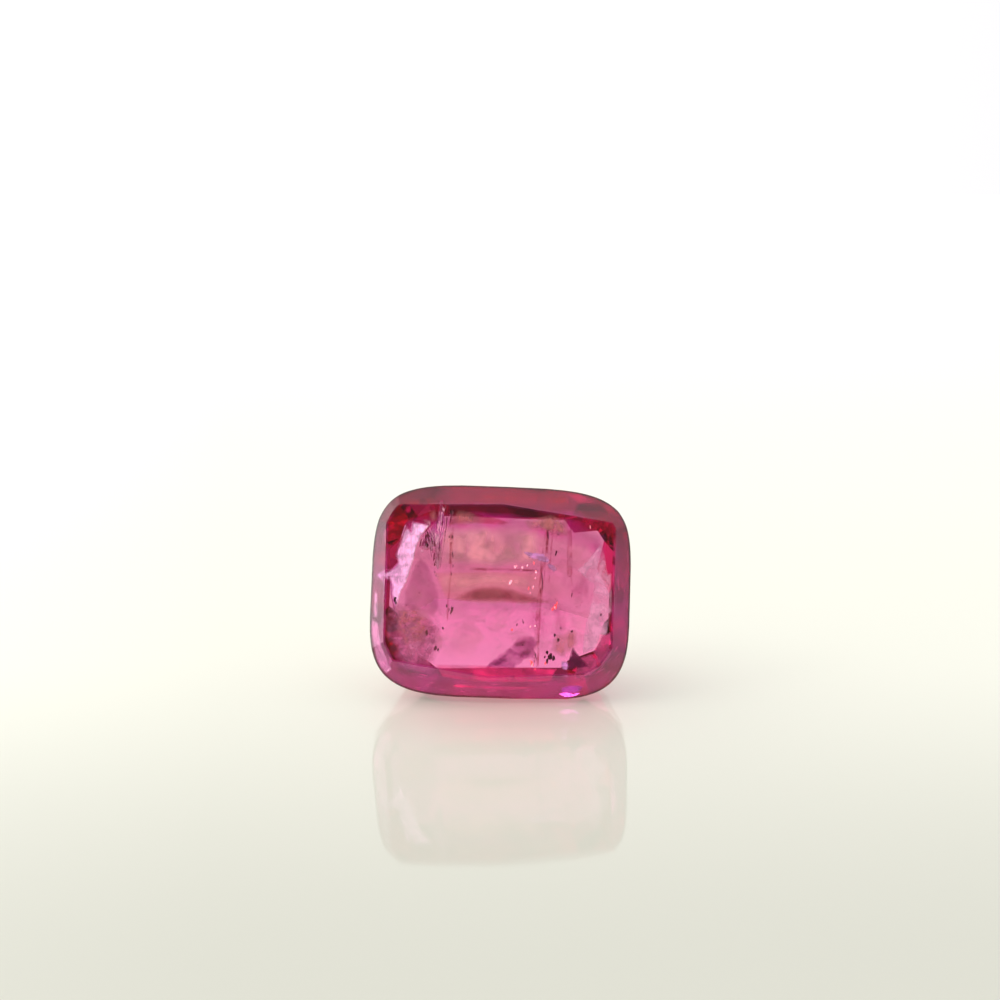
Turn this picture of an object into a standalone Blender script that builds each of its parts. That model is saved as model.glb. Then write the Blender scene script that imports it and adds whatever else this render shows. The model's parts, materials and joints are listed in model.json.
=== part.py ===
"""A cushion cut ruby, one faceted solid that lies on a steep facet of its pavilion.

The stone is worked out in its own frame first: x along its length, y across its width,
and z out of its table, with zero at mid girdle. It is then leaned back, rolled a little
and set down, so that its resting facet lies on z = 0 and its table looks along -Y and up.
Two old fractures that reach its surface stand open in it as thin slits.
"""

from math import copysign, cos, pi, radians, sin

import bmesh
import bpy
from mathutils import Matrix, Vector

MM = 0.001

# Driving dimensions
LENGTH = 8.0 * MM
WIDTH = 6.56 * MM
CROWN_HEIGHT = 0.40 * MM
GIRDLE_THICKNESS = 0.40 * MM
PAVILION_DEPTH = 3.50 * MM

# The outline is a superellipse, drawn with one point for each equal turn of its edge
OUTLINE_POWER = 4.1
OUTLINE_STEPS = 120

# Heights above mid girdle
TABLE_Z = GIRDLE_THICKNESS / 2 + CROWN_HEIGHT
GIRDLE_FOOT_Z = -GIRDLE_THICKNESS / 2
CULET_Z = GIRDLE_FOOT_Z - PAVILION_DEPTH

# How the stone lies: its table's normal rises this far above level, and it is rolled
# about that normal, right side down as seen from the front
TABLE_RISE = radians(20.0)
ROLL = radians(2.07)

# Each facet is given by its azimuth and its slope from the girdle plane, in degrees.
# Crown facets add their distance from the stone's axis at the table, in millimetres.
CROWN_FACETS = (
    (92.0, 35.0, 2.66),
    (82.5, 35.0, 2.64),
    (0.0, 39.0, 3.48),
    (52.0, 36.0, 3.98),
    (28.0, 38.0, 4.02),
    (181.0, 41.0, 3.56),
    (128.0, 36.0, 3.98),
    (152.0, 38.0, 4.10),
    (-86.0, 37.0, 2.66),
    (-98.0, 37.0, 2.70),
    (-58.0, 37.0, 3.50),
    (-34.0, 38.0, 3.80),
    (-128.0, 36.0, 3.92),
    (-152.0, 38.0, 3.92),
)

# Belly facets are the steep sides that fall from the foot of the girdle
BELLY_FACETS = (
    (90.0, 73.5),
    (62.0, 74.0),
    (35.0, 75.0),
    (0.0, 79.0),
    (-34.0, 74.0),
    (-58.0, 74.0),
    (-118.0, 73.0),
    (-144.0, 72.0),
    (180.0, 80.5),
    (144.0, 74.0),
    (116.0, 74.0),
)

# Main facets are the shallow ones that meet at the culet. They add their distance from
# the stone's axis at the culet's depth, in millimetres.
MAIN_FACETS = (
    (90.0, 27.0, 0.86),
    (42.0, 29.0, 1.95),
    (0.0, 22.0, 1.72),
    (-38.0, 23.0, 1.55),
    (-90.0, 18.0, 0.14),
    (-142.0, 24.0, 1.80),
    (180.0, 27.0, 2.12),
    (138.0, 29.0, 2.15),
)

# The toe is a narrow facet along the front of the resting facet. It takes the outline's
# curve off that edge, so that the stone stands on a straight one.
TOE_AZIMUTH = -88.5
TOE_SLOPE = 80.0
TOE_BITE = 0.080 * MM

# Break facets are the small ones between belly and mains at the corners. They add a
# distance from the stone's axis and the depth below mid girdle that it is measured at.
BREAK_FACETS = (
    (66.0, 42.0, 3.14, 2.80),
    (16.0, 44.0, 3.68, 2.70),
    (-26.0, 44.0, 3.62, 2.75),
    (-56.0, 46.0, 2.92, 3.05),
    (-114.0, 44.0, 3.02, 2.90),
    (-154.0, 44.0, 3.66, 2.70),
    (158.0, 44.0, 3.92, 2.62),
    (112.0, 42.0, 3.12, 2.80),
)

# Two old fractures run in from the surface, and stand open as thin slits. Each lies in a
# plane that leans toward an azimuth by a slope, in degrees, and that passes its first
# corner at a depth below the table. The depth and the corners are in millimetres.
FRACTURES = (
    (
        180.0,
        15.0,
        0.40,
        (
            (-2.30, 1.98),
            (-2.80, 2.06),
            (-2.86, 1.76),
            (-3.02, 1.97),
            (-3.20, 1.34),
            (-3.30, 1.02),
            (-3.22, 0.80),
            (-3.40, 0.58),
            (-4.20, 0.48),
            (-4.20, 0.32),
            (-3.42, 0.20),
            (-3.38, -0.22),
            (-3.25, -0.70),
            (-3.11, -0.18),
            (-2.95, 0.16),
            (-2.86, 0.47),
            (-2.72, 0.96),
            (-2.68, 1.25),
            (-2.54, 1.62),
        ),
    ),
    (
        -90.0,
        29.0,
        -0.04,
        (
            (-1.93, 2.92),
            (-2.04, 2.10),
            (-2.24, 1.84),
            (-2.46, 1.46),
            (-2.54, 1.28),
            (-2.34, 1.20),
            (-2.18, 1.34),
            (-2.12, 1.02),
            (-1.97, 0.70),
            (-1.87, 1.40),
            (-1.80, 2.10),
        ),
    ),
)
FRACTURE_GAP = 0.04 * MM

# The belly facets start this far inside the outline, so that the girdle keeps a clean foot
GIRDLE_BITE = 0.01 * MM

# Corners closer together than this are one corner
WELD = 0.002 * MM
ON_PLANE = 0.00001 * MM

RUBY_COLOUR = (0.62, 0.10, 0.26, 1.0)
RUBY_INDEX = 1.765
RUBY_ROUGHNESS = 0.03


def clear_scene():
    for item in list(bpy.data.objects):
        bpy.data.objects.remove(item, do_unlink=True)


def outline_sum(turn):
    """The term that both the outline's points and its reach in a direction are worked out from."""
    power = OUTLINE_POWER / (OUTLINE_POWER - 1)
    along = abs(LENGTH / 2 * cos(turn)) ** power
    across = abs(WIDTH / 2 * sin(turn)) ** power
    return power, along + across


def outline_reach(turn):
    """How far the outline reaches from the axis in the direction of turn."""
    power, total = outline_sum(turn)
    return total ** (1 / power)


def outline_point(turn):
    """The point of the outline whose outward normal points in the direction of turn."""
    power, total = outline_sum(turn)
    shrink = total ** (-1 / OUTLINE_POWER)
    x = (LENGTH / 2) ** power * abs(cos(turn)) ** (power - 1) * shrink
    y = (WIDTH / 2) ** power * abs(sin(turn)) ** (power - 1) * shrink
    return Vector((copysign(x, cos(turn)), copysign(y, sin(turn)), 0.0))


def rough_block():
    """The outline drawn straight down from the table to the culet."""
    block = bmesh.new()
    step = 2 * pi / OUTLINE_STEPS
    ring = [outline_point((i + 0.5) * step) for i in range(OUTLINE_STEPS)]
    floor = block.faces.new([block.verts.new((p.x, p.y, CULET_Z)) for p in ring])
    raised = bmesh.ops.extrude_face_region(block, geom=[floor])["geom"]
    top = [item for item in raised if isinstance(item, bmesh.types.BMVert)]
    bmesh.ops.translate(block, verts=top, vec=(0.0, 0.0, TABLE_Z - CULET_Z))
    bmesh.ops.recalc_face_normals(block, faces=block.faces)
    return block


def cut_facet(stone, azimuth, slope, distance, height, side):
    """Grinds one flat facet. side is 1 for the crown and -1 for the pavilion."""
    normal = Vector((sin(slope) * cos(azimuth), sin(slope) * sin(azimuth), side * cos(slope)))
    on_facet = Vector((distance * cos(azimuth), distance * sin(azimuth), height))
    everything = stone.verts[:] + stone.edges[:] + stone.faces[:]
    bmesh.ops.bisect_plane(
        stone,
        geom=everything,
        dist=ON_PLANE,
        plane_co=on_facet,
        plane_no=normal,
        clear_outer=True,
    )
    open_edges = [edge for edge in stone.edges if edge.is_boundary]
    if open_edges:
        bmesh.ops.edgeloop_fill(stone, edges=open_edges)


def cut_crown(stone):
    for azimuth, slope, distance in CROWN_FACETS:
        cut_facet(stone, radians(azimuth), radians(slope), distance * MM, TABLE_Z, 1)


def cut_belly(stone):
    for azimuth, slope in BELLY_FACETS:
        turn = radians(azimuth)
        start = outline_reach(turn) - GIRDLE_BITE
        cut_facet(stone, turn, radians(slope), start, GIRDLE_FOOT_Z, -1)


def cut_resting_facet(stone):
    """The front belly facet, whose azimuth and slope make it level once the stone is leaned."""
    turn = ROLL - pi / 2
    start = outline_reach(turn) - GIRDLE_BITE
    cut_facet(stone, turn, pi / 2 - TABLE_RISE, start, GIRDLE_FOOT_Z, -1)


def cut_toe(stone):
    turn = radians(TOE_AZIMUTH)
    start = outline_reach(turn) - TOE_BITE
    cut_facet(stone, turn, radians(TOE_SLOPE), start, GIRDLE_FOOT_Z, -1)


def cut_mains(stone):
    for azimuth, slope, distance in MAIN_FACETS:
        cut_facet(stone, radians(azimuth), radians(slope), distance * MM, CULET_Z, -1)


def cut_breaks(stone):
    for azimuth, slope, distance, depth in BREAK_FACETS:
        cut_facet(stone, radians(azimuth), radians(slope), distance * MM, -depth * MM, -1)


def fracture_plate(plates, azimuth, slope, depth, corners):
    """One fracture as a thin plate, whose corners beyond the surface open it."""
    lean = Vector((cos(azimuth), sin(azimuth), 0.0)) * sin(slope)
    normal = lean + Vector((0.0, 0.0, cos(slope)))
    flat = [Vector((x, y, 0.0)) * MM for x, y in corners]
    start = flat[0] + Vector((0.0, 0.0, TABLE_Z - depth))
    verts = []
    for corner in flat:
        height = (start - corner).dot(normal) / normal.z
        verts.append(plates.verts.new(corner + Vector((0.0, 0.0, height)) - normal * FRACTURE_GAP / 2))
    face = plates.faces.new(verts)
    raised = bmesh.ops.extrude_face_region(plates, geom=[face])["geom"]
    top = [item for item in raised if isinstance(item, bmesh.types.BMVert)]
    bmesh.ops.translate(plates, verts=top, vec=normal * FRACTURE_GAP)


def open_fractures(ruby):
    """Cuts the fractures into the stone with a cutter that isn't part of the model."""
    plates = bmesh.new()
    for azimuth, slope, depth, corners in FRACTURES:
        fracture_plate(plates, radians(azimuth), radians(slope), depth * MM, corners)
    bmesh.ops.recalc_face_normals(plates, faces=plates.faces)
    mesh = bpy.data.meshes.new("fracture_cutter")
    plates.to_mesh(mesh)
    plates.free()
    cutter = bpy.data.objects.new("fracture_cutter", mesh)
    cutter.matrix_world = ruby.matrix_world
    cutter.hide_render = True
    cutter.display_type = "WIRE"
    bpy.context.scene.collection.objects.link(cutter)
    cut = ruby.modifiers.new("fractures", "BOOLEAN")
    cut.operation = "DIFFERENCE"
    cut.object = cutter


def setting_down(stone):
    """The matrix that leans and rolls the stone, and stands it at the middle of the floor."""
    lean = Matrix.Rotation(pi / 2 - TABLE_RISE, 4, "X")
    roll = Matrix.Rotation(-ROLL, 4, "Z")
    turned = lean @ roll
    corners = [turned @ vert.co for vert in stone.verts]
    middle = [(min(c[i] for c in corners) + max(c[i] for c in corners)) / 2 for i in (0, 1)]
    lowest = min(c.z for c in corners)
    return Matrix.Translation((-middle[0], -middle[1], -lowest)) @ turned


def ruby_material():
    material = bpy.data.materials.new("ruby")
    material.use_nodes = True
    shader = material.node_tree.nodes["Principled BSDF"]
    shader.inputs["Base Color"].default_value = RUBY_COLOUR
    shader.inputs["Metallic"].default_value = 0.0
    shader.inputs["Roughness"].default_value = RUBY_ROUGHNESS
    shader.inputs["IOR"].default_value = RUBY_INDEX
    shader.inputs["Transmission Weight"].default_value = 1.0
    return material


def cushion_cut_ruby():
    stone = rough_block()
    cut_crown(stone)
    cut_belly(stone)
    cut_resting_facet(stone)
    cut_toe(stone)
    cut_mains(stone)
    cut_breaks(stone)
    bmesh.ops.remove_doubles(stone, verts=stone.verts, dist=WELD)
    bmesh.ops.recalc_face_normals(stone, faces=stone.faces)
    placed = setting_down(stone)
    mesh = bpy.data.meshes.new("cushion_cut_ruby")
    stone.to_mesh(mesh)
    stone.free()
    mesh.materials.append(ruby_material())
    ruby = bpy.data.objects.new("cushion_cut_ruby", mesh)
    bpy.context.scene.collection.objects.link(ruby)
    ruby.matrix_world = placed
    open_fractures(ruby)
    return ruby


clear_scene()
cushion_cut_ruby()
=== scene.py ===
"""Looks for a cushion cut ruby: the polished stone, what grew inside it, and a pale glossy stage."""

import json
import math
import random

import bmesh
import bpy
from mathutils import Matrix, Vector, geometry, noise


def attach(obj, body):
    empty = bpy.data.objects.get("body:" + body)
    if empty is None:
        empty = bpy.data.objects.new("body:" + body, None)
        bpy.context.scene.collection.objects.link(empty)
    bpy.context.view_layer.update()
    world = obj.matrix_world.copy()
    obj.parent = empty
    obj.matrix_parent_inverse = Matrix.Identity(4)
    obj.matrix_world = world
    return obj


bl_info = {
    "name": "Cushion cut ruby looks",
    "version": (1, 0, 0),
    "blender": (4, 5, 0),
    "location": "3D View > Sidebar > Ruby",
    "description": "Dresses the packed ruby with its crystal, inclusions and a pale glossy stage",
    "category": "Object",
}

MM = 0.001
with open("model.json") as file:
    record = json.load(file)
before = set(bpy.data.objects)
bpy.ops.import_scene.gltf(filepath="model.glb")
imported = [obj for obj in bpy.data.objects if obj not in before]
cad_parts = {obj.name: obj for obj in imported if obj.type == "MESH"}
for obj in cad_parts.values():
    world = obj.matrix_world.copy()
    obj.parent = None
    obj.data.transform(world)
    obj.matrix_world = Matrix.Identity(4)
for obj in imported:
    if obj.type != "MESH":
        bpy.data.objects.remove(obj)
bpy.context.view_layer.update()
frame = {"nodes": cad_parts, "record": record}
STONE = "cushion_cut_ruby"

# The stone's own frame: x along its length, y across its width, z out of its table
TABLE = next(m for m in frame["record"]["mounts"] if m["name"] == "table")
TABLE_NORMAL = Vector(TABLE["axis"]).normalized()
ROLL = math.radians(2.07)
TABLE_OFF_AXIS = Vector((-0.092, 0.074, 0.0)) * MM


def stone_frame():
    """The matrix from the stone's own frame, with zero on its axis at the table, to the world."""
    level = Vector((1.0, 0.0, 0.0))
    up = TABLE_NORMAL.cross(level)
    along = level * math.cos(ROLL) - up * math.sin(ROLL)
    across = TABLE_NORMAL.cross(along)
    turn = Matrix((along, across, TABLE_NORMAL)).transposed()
    centre = Vector(TABLE["pos_m"]) - turn @ TABLE_OFF_AXIS
    return Matrix.Translation(centre) @ turn.to_4x4()


STONE_FRAME = stone_frame()


def colour_setting(label, about, default):
    return bpy.props.FloatVectorProperty(
        name=label, description=about, subtype="COLOR", size=3, min=0.0, max=1.0, default=default
    )


def amount_setting(label, about, default, lowest=0.0, highest=1e6):
    return bpy.props.FloatProperty(
        name=label, description=about, min=lowest, max=highest, default=default
    )


def length_setting(label, about, default):
    return bpy.props.FloatProperty(
        name=label, description=about, subtype="DISTANCE", min=0.0, default=default
    )


class RubySettings(bpy.types.PropertyGroup):
    """What a user would change on the stone."""

    body_colour: colour_setting("Body colour", "Colour that the crystal lets through", (0.89, 0.08, 0.53))
    body_depth: amount_setting("Depth of colour", "How strongly the crystal absorbs, per metre", 445.0)
    refractive_index: amount_setting("Refractive index", "Bending of light in corundum", 1.765, 1.0, 3.0)
    crown_haze: amount_setting(
        "Crown haze", "Roughness of the worn facets round the table", 0.16, 0.08, 1.0
    )
    crown_tint: colour_setting(
        "Crown tint", "Colour that the purplish rim of the stone lets through", (0.97, 0.56, 1.0)
    )
    table_haze: amount_setting("Table haze", "Roughness of the table and the pavilion", 0.02, 0.0, 1.0)


class InclusionSettings(bpy.types.PropertyGroup):
    """What a user would change about the stone's inner life."""

    feather_strength: amount_setting(
        "Feather strength", "How much of the light the pale fractures stop", 0.8, 0.0, 1.0
    )
    droplet_size: length_setting(
        "Droplet size", "Width of the largest droplets in the healed veils", 0.045 * MM
    )
    hair_length: length_setting("Hair length", "Length of the longest hairs under the crown", 0.5 * MM)
    seed: bpy.props.IntProperty(name="Seed", description="Start of every random draw", default=7)


class StageSettings(bpy.types.PropertyGroup):
    """The floor, the light and the camera."""

    floor_radius: length_setting("Floor radius", "Reach of the pale floor", 0.45)
    floor_colour: colour_setting("Floor colour", "Warm white of the glossy surface", (0.755, 0.76, 0.65))
    foot_colour: colour_setting(
        "Foot colour", "Pink light that the stone throws on the floor at its foot", (0.90, 0.36, 0.40)
    )
    # Painted light: the floor glows though it is no lamp, weakly in front of the stone and more strongly
    # behind it
    near_painted_glow: amount_setting("Near glow", "Light that comes through the floor in front of the stone", 0.05)
    far_painted_glow: amount_setting("Far glow", "Light that comes through the floor behind the stone", 0.25)
    key_watts: amount_setting("Key light", "Power of the soft light at the front left, in watts", 0.03)


def new_material(name):
    material = bpy.data.materials.new(name)
    material.use_nodes = True
    tree = material.node_tree
    tree.nodes.clear()
    output = tree.nodes.new("ShaderNodeOutputMaterial")
    return material, tree, output


def put(tree, socket, value):
    """Links a socket to the input, or sets it to a plain value."""
    if isinstance(value, bpy.types.NodeSocket):
        tree.links.new(value, socket)
    else:
        socket.default_value = value


def math_node(tree, operation, *values, clamp=False):
    made = tree.nodes.new("ShaderNodeMath")
    made.operation = operation
    made.use_clamp = clamp
    for socket, value in zip(made.inputs, values):
        put(tree, socket, value)
    return made.outputs["Value"]


def ramp_node(tree, factor, stops, interpolation="EASE"):
    made = tree.nodes.new("ShaderNodeValToRGB")
    ramp = made.color_ramp
    ramp.interpolation = interpolation
    while len(ramp.elements) < len(stops):
        ramp.elements.new(0.5)
    for element, (position, colour) in zip(ramp.elements, stops):
        element.position = position
        element.color = (*colour, 1.0)
    put(tree, made.inputs["Fac"], factor)
    return made.outputs["Color"]


def dot_node(tree, vector, direction):
    made = tree.nodes.new("ShaderNodeVectorMath")
    made.operation = "DOT_PRODUCT"
    tree.links.new(vector, made.inputs[0])
    made.inputs[1].default_value = Vector(direction).normalized()
    return made.outputs["Value"]


def mix_colours(tree, blend, first, second, factor=1.0):
    made = tree.nodes.new("ShaderNodeMix")
    made.data_type = "RGBA"
    made.blend_type = blend
    put(tree, made.inputs["Factor"], factor)
    put(tree, made.inputs[6], first)
    put(tree, made.inputs[7], second)
    return made.outputs[2]


def stone_millimetres(tree, stretch=(1.0, 1.0, 1.0)):
    """Object coordinates turned into millimetres along the stone's own axes, then stretched."""
    where = tree.nodes.new("ShaderNodeTexCoord")
    own = tree.nodes.new("ShaderNodeMapping")
    own.vector_type = "TEXTURE"
    own.inputs["Location"].default_value = STONE_FRAME.translation
    own.inputs["Rotation"].default_value = STONE_FRAME.to_euler()
    own.inputs["Scale"].default_value = (MM, MM, MM)
    tree.links.new(where.outputs["Object"], own.inputs["Vector"])
    pulled = tree.nodes.new("ShaderNodeMapping")
    pulled.inputs["Scale"].default_value = stretch
    tree.links.new(own.outputs["Vector"], pulled.inputs["Vector"])
    return pulled.outputs["Vector"]


def noise_node(tree, vector, scale, detail=4.0, roughness=0.6, distortion=0.0):
    made = tree.nodes.new("ShaderNodeTexNoise")
    made.inputs["Scale"].default_value = scale
    made.inputs["Detail"].default_value = detail
    made.inputs["Roughness"].default_value = roughness
    made.inputs["Distortion"].default_value = distortion
    tree.links.new(vector, made.inputs["Vector"])
    return made.outputs["Fac"]


def shader_node(tree, kind, **values):
    """A shader whose inputs, named with underscores for spaces, are set or linked."""
    made = tree.nodes.new(kind)
    for name, value in values.items():
        put(tree, made.inputs[name.replace("_", " ")], value)
    return made


def mix_shaders(tree, first, second, factor):
    made = tree.nodes.new("ShaderNodeMixShader")
    put(tree, made.inputs["Fac"], factor)
    tree.links.new(first.outputs[0], made.inputs[1])
    tree.links.new(second.outputs[0], made.inputs[2])
    return made


def show(tree, output, shader):
    tree.links.new(shader.outputs[0], output.inputs["Surface"])


def bump_node(tree, height, reach, strength=1.0):
    made = tree.nodes.new("ShaderNodeBump")
    made.inputs["Strength"].default_value = strength
    made.inputs["Distance"].default_value = reach
    tree.links.new(height, made.inputs["Height"])
    return made.outputs["Normal"]


# The crown lies between the table's edge and the foot of the girdle, in millimetres below
# the table
CROWN_TOP = 0.012
CROWN_FOOT = 0.85
TABLE_TINT = (1.0, 0.97, 0.985)


# The crown's wear is spread this much to either side of the crown haze, and its waves are
# this high
WEAR_SPREAD = 0.08
CROWN_WAVES = 0.004 * MM


def crystal_material(settings):
    """Polished corundum: a clear table, a more worn crown, and a body that absorbs green."""
    material, tree, output = new_material("ruby_crystal")
    place = stone_millimetres(tree)
    apart = tree.nodes.new("ShaderNodeSeparateXYZ")
    tree.links.new(place, apart.inputs["Vector"])
    depth = math_node(tree, "MULTIPLY", apart.outputs["Z"], -1.0)
    below_table = math_node(tree, "GREATER_THAN", depth, CROWN_TOP)
    above_foot = math_node(tree, "LESS_THAN", depth, CROWN_FOOT)
    on_crown = math_node(tree, "MULTIPLY", below_table, above_foot)
    wear = noise_node(tree, stone_millimetres(tree, (0.5, 3.0, 3.0)), 1.6, 5.0, 0.65)
    least_worn = settings.crown_haze - WEAR_SPREAD
    worn = math_node(tree, "MULTIPLY_ADD", wear, 2 * WEAR_SPREAD, least_worn)
    crown_roughness = math_node(tree, "MULTIPLY", worn, on_crown)
    waves = noise_node(tree, stone_millimetres(tree, (0.3, 5.0, 5.0)), 2.5, 3.0, 0.5)
    shader = shader_node(
        tree,
        "ShaderNodeBsdfPrincipled",
        Base_Color=mix_colours(
            tree, "MIX", (*TABLE_TINT, 1.0), (*settings.crown_tint, 1.0), on_crown
        ),
        Roughness=math_node(tree, "MAXIMUM", crown_roughness, settings.table_haze),
        IOR=settings.refractive_index,
        Transmission_Weight=1.0,
        Normal=bump_node(tree, math_node(tree, "MULTIPLY", waves, on_crown), CROWN_WAVES, 0.6),
    )
    body = shader_node(
        tree,
        "ShaderNodeVolumeAbsorption",
        Color=(*settings.body_colour, 1.0),
        Density=settings.body_depth,
    )
    show(tree, output, shader)
    tree.links.new(body.outputs["Volume"], output.inputs["Volume"])
    return material


class RUBY_OT_stone(bpy.types.Operator):
    """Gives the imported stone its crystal"""

    bl_idname = "ruby.stone"
    bl_label = "Polished stone"

    def execute(self, context):
        stone = frame["nodes"][STONE]
        stone.data.materials.clear()
        stone.data.materials.append(crystal_material(context.scene.ruby_settings))
        return {"FINISHED"}


def local(x, y, depth):
    """A point from millimetres along the stone, across it and down from its table."""
    return STONE_FRAME @ (Vector((x, y, -depth)) * MM)


def add_piece(name, mesh, material):
    """Links a finished mesh with its material, which moves with the stone."""
    mesh.materials.clear()
    mesh.materials.append(material)
    piece = bpy.data.objects.new(name, mesh)
    bpy.context.scene.collection.objects.link(piece)
    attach(piece, "root")
    return piece


def broken_edge(start, end, normal, jag, halvings, chance):
    """Points from start to short of end, each half thrown sideways as a break runs."""
    if not halvings:
        return [start]
    along = end - start
    sideways = normal.cross(along) * jag * chance.uniform(-1.0, 1.0)
    middle = start.lerp(end, chance.uniform(0.35, 0.65)) + sideways
    first = broken_edge(start, middle, normal, jag, halvings - 1, chance)
    return first + broken_edge(middle, end, normal, jag, halvings - 1, chance)


def rim_distance(point, rim):
    """How far a flat point lies from the closed line through the rim's points."""
    nearest = math.inf
    for start, end in zip(rim, rim[1:] + rim[:1]):
        share = geometry.intersect_point_line(point, start, end)[1]
        foot = start.lerp(end, min(1.0, max(0.0, share)))
        nearest = min(nearest, (point - foot).length)
    return nearest


def filled_outline(rim, spacing, chance):
    """Triangles over a flat closed rim, with loose rows of points inside it."""
    low = [min(point[i] for point in rim) for i in range(2)]
    high = [max(point[i] for point in rim) for i in range(2)]
    points = list(rim)
    for row in range(1, int((high[1] - low[1]) / spacing) + 1):
        for column in range(1, int((high[0] - low[0]) / spacing) + 1):
            shift = Vector((chance.uniform(-0.3, 0.3), chance.uniform(-0.3, 0.3)))
            point = Vector(low) + (Vector((column, row)) + shift) * spacing
            if rim_distance(point, rim) > spacing * 0.4:
                points.append(point)
    edges = [(i, (i + 1) % len(rim)) for i in range(len(rim))]
    made = geometry.delaunay_2d_cdt(points, edges, [], 1, 1e-6)
    return made[0], made[2]


# Places in the tables are in whole steps, of which this many make a millimetre
STEPS = 100
SHEET_SPACING = 0.08
SHEET_THICKNESS = 0.012 * MM


def sheet_mesh(name, outlines, jag, ripple, fade, chance):
    """Thin wavy sheets from outlines of (x, y, depth) corners in steps, in one mesh.

    Its core attribute rises from 0 at the rim to 1 at the fade's width inside it."""
    build = bmesh.new()
    core = build.verts.layers.float.new("core")
    for outline in outlines:
        corners = [Vector((x / STEPS, y / STEPS, -depth / STEPS)) for x, y, depth in outline]
        normal = geometry.normal(corners)
        along = (corners[1] - corners[0]).normalized()
        across = normal.cross(along)
        rim = []
        for start, end in zip(corners, corners[1:] + corners[:1]):
            rim += broken_edge(start, end, normal, jag, 2, chance)
        flat_rim = [Vector(((p - corners[0]) @ along, (p - corners[0]) @ across)) for p in rim]
        points, faces = filled_outline(flat_rim, SHEET_SPACING, chance)
        verts = []
        for point in points:
            place = corners[0] + along * point.x + across * point.y
            place += normal * noise.noise(place * 1.7) * ripple
            vert = build.verts.new(STONE_FRAME @ (place * MM))
            vert[core] = min(1.0, rim_distance(point, flat_rim) / fade)
            verts.append(vert)
        for face in faces:
            build.faces.new([verts[i] for i in face])
    bmesh.ops.delete(build, geom=[v for v in build.verts if not v.link_faces], context="VERTS")
    mesh = bpy.data.meshes.new(name)
    build.to_mesh(mesh)
    build.free()
    return mesh


def add_maker(name, mesh):
    """An object that only carries a modifier until its result is taken."""
    maker = bpy.data.objects.new(name, mesh)
    bpy.context.scene.collection.objects.link(maker)
    return maker


def settled(maker, name):
    """The maker's evaluated shape as a plain mesh. The maker and its modifier are removed."""
    graph = bpy.context.evaluated_depsgraph_get()
    mesh = bpy.data.meshes.new_from_object(maker.evaluated_get(graph))
    mesh.name = name
    bpy.data.objects.remove(maker, do_unlink=True)
    return mesh


GRAIN_SOCKETS = (
    ("Material", "NodeSocketMaterial"),
    ("Per area", "NodeSocketFloat"),
    ("Smallest", "NodeSocketVector"),
    ("Largest", "NodeSocketVector"),
    ("Seed", "NodeSocketInt"),
)


def grain_tree():
    """Nodes that scatter small rounded grains over a surface, each drawn out along the girdle."""
    tree = bpy.data.node_groups.new("scattered_grains", "GeometryNodeTree")
    sides = tree.interface
    sides.new_socket("Surface", in_out="INPUT", socket_type="NodeSocketGeometry")
    for label, kind in GRAIN_SOCKETS:
        sides.new_socket(label, in_out="INPUT", socket_type=kind)
    sides.new_socket("Grains", in_out="OUTPUT", socket_type="NodeSocketGeometry")
    link = tree.links.new
    given = tree.nodes.new("NodeGroupInput").outputs
    spread = tree.nodes.new("GeometryNodeDistributePointsOnFaces")
    link(given["Surface"], spread.inputs["Mesh"])
    link(given["Per area"], spread.inputs["Density"])
    link(given["Seed"], spread.inputs["Seed"])
    grain = tree.nodes.new("GeometryNodeMeshIcoSphere")
    grain.inputs["Radius"].default_value = 0.5
    grain.inputs["Subdivisions"].default_value = 1
    size = tree.nodes.new("FunctionNodeRandomValue")
    size.data_type = "FLOAT_VECTOR"
    link(given["Smallest"], size.inputs["Min"])
    link(given["Largest"], size.inputs["Max"])
    link(given["Seed"], size.inputs["Seed"])
    girdle = tree.nodes.new("ShaderNodeVectorMath")
    girdle.operation = "CROSS_PRODUCT"
    girdle.inputs[0].default_value = TABLE_NORMAL
    link(spread.outputs["Normal"], girdle.inputs[1])
    along = tree.nodes.new("FunctionNodeAlignRotationToVector")
    along.axis = "X"
    along.pivot_axis = "Z"
    link(spread.outputs["Rotation"], along.inputs["Rotation"])
    link(girdle.outputs["Vector"], along.inputs["Vector"])
    placed = tree.nodes.new("GeometryNodeInstanceOnPoints")
    link(spread.outputs["Points"], placed.inputs["Points"])
    link(grain.outputs["Mesh"], placed.inputs["Instance"])
    link(along.outputs["Rotation"], placed.inputs["Rotation"])
    link(size.outputs["Value"], placed.inputs["Scale"])
    real = tree.nodes.new("GeometryNodeRealizeInstances")
    link(placed.outputs["Instances"], real.inputs["Geometry"])
    painted = tree.nodes.new("GeometryNodeSetMaterial")
    link(real.outputs["Geometry"], painted.inputs["Geometry"])
    link(given["Material"], painted.inputs["Material"])
    out = tree.nodes.new("NodeGroupOutput")
    link(painted.outputs["Geometry"], out.inputs["Grains"])
    return tree


def scatter(maker, material, per_area, smallest, largest, seed):
    """Scatters grains over the maker's mesh, with sizes along, across and through it."""
    nodes = maker.modifiers.new("grains", "NODES")
    nodes.node_group = grain_tree()
    labels = [label for label, kind in GRAIN_SOCKETS]
    values = dict(zip(labels, (material, per_area, smallest, largest, seed)))
    for item in nodes.node_group.interface.items_tree:
        if item.in_out == "INPUT" and item.name in values:
            nodes[item.identifier] = values[item.name]


def thicken(piece):
    """Gives a sheet its two sides, so that it is a closed body."""
    wall = piece.modifiers.new("thickness", "SOLIDIFY")
    wall.thickness = SHEET_THICKNESS
    wall.offset = 0.0


def add_sheets(name, outlines, material, jag=0.12, ripple=0.05, fade=0.3, seed=1):
    """Fractures, veils or growth planes as one piece of thin closed bodies."""
    mesh = sheet_mesh(name, outlines, jag, ripple, fade, random.Random(seed))
    piece = add_piece(name, mesh, material)
    thicken(piece)
    return piece


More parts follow.
